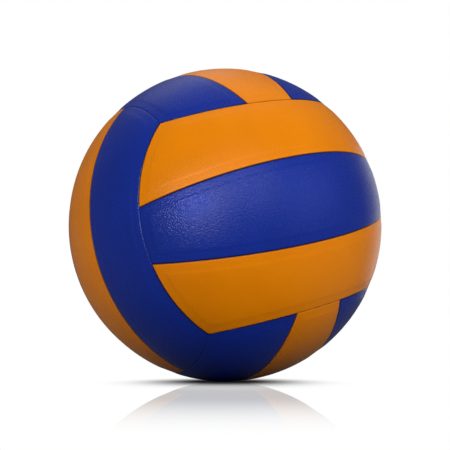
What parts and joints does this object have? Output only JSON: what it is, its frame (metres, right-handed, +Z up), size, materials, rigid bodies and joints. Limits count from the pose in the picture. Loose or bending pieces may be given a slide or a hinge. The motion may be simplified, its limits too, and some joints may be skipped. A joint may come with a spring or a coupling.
{
  "type": "volleyball",
  "caption": "Indoor volleyball with bonded leather strip panels in orange and blue over a rubber carcass, an air bladder and a needle valve with a core that pulls out.",
  "frame": {"origin": "centre of the ball", "axes": "+Z up as the ball stands on the floor; -Y towards the viewer of the picture; the panels lean and turn with the ball as it lies in the picture"},
  "size_m": [0.21, 0.21, 0.21],
  "materials": {
    "orange_leather": "fine pebbled grain with a soft sheen, orange composite leather",
    "blue_leather": "fine pebbled grain with a soft sheen, royal blue composite leather",
    "backing_foam": "matt closed-cell foam sheet, cream",
    "carcass_rubber": "matt moulded natural rubber, graphite",
    "nylon_thread": "wound white nylon thread under a rubber wash",
    "bladder_rubber": "smooth butyl rubber, black",
    "valve_rubber": "smooth moulded butyl rubber, black",
    "core_rubber": "smooth moulded rubber, graphite"
  },
  "bodies": {
    "ball": {"front_lower_panel": "orange_leather", "front_middle_panel": "blue_leather", "front_upper_panel": "orange_leather", "back_lower_panel": "orange_leather", "back_middle_panel": "blue_leather", "back_upper_panel": "orange_leather", "left_front_panel": "blue_leather", "left_middle_panel": "orange_leather", "left_rear_panel": "blue_leather", "right_front_panel": "blue_leather", "right_middle_panel": "orange_leather", "right_rear_panel": "blue_leather", "top_left_panel": "blue_leather", "top_middle_panel": "orange_leather", "top_right_panel": "blue_leather", "bottom_left_panel": "blue_leather", "bottom_middle_panel": "orange_leather", "bottom_right_panel": "blue_leather", "front_lower_foam": "backing_foam", "front_middle_foam": "backing_foam", "front_upper_foam": "backing_foam", "back_lower_foam": "backing_foam", "back_middle_foam": "backing_foam", "back_upper_foam": "backing_foam", "left_front_foam": "backing_foam", "left_middle_foam": "backing_foam", "left_rear_foam": "backing_foam", "right_front_foam": "backing_foam", "right_middle_foam": "backing_foam", "right_rear_foam": "backing_foam", "top_left_foam": "backing_foam", "top_middle_foam": "backing_foam", "top_right_foam": "backing_foam", "bottom_left_foam": "backing_foam", "bottom_middle_foam": "backing_foam", "bottom_right_foam": "backing_foam", "carcass": "carcass_rubber", "thread_winding": "nylon_thread", "bladder": "bladder_rubber", "valve_housing": "valve_rubber", "balance_patch": "bladder_rubber"},
    "core": {"valve_core": "core_rubber"}
  },
  "joints": [
    {"name": "valve_core_slide", "type": "slide", "parent": "ball", "child": "core", "axis": [-0.4743, 0.8789, 0.0502], "range_m": [0, 0.016]}
  ]
}
